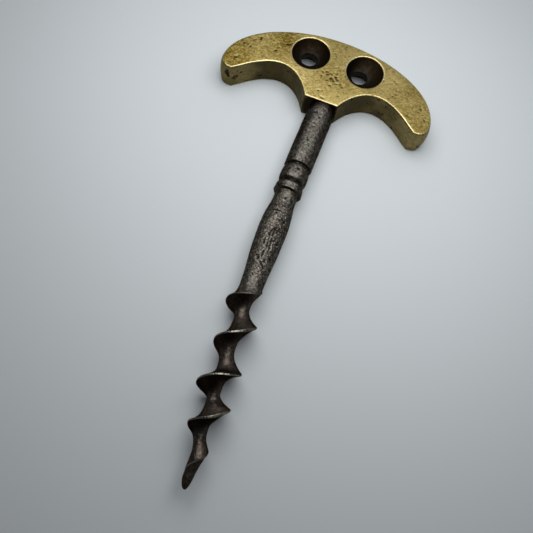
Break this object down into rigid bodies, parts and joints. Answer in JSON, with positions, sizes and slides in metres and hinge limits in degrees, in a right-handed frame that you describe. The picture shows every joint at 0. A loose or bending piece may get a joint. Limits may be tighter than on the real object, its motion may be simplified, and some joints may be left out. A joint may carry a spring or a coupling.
{
  "type": "corkscrew",
  "caption": "Direct-pull half of a two-part lever corkscrew: arched brass handle with two countersunk eyes and a steel shank forged in one with a bladed worm.",
  "frame": {"origin": "on the surface that the corkscrew lies on, under the middle of its bounding box; the handle's back face lies on z = 0", "axes": "+Y along the shank from the worm's point towards the handle; +X across the handle; +Z out of the handle's front face, away from the surface"},
  "size_m": [0.0674, 0.1371, 0.0105],
  "materials": {
    "brass": "worn satin cast brass with dark pits and patina in the eyes",
    "steel": "dark brown patinated forged steel, finely pitted, bright worn blade edge"
  },
  "bodies": {
    "root": {"handle": "brass", "shank": "steel"}
  },
  "joints": []
}
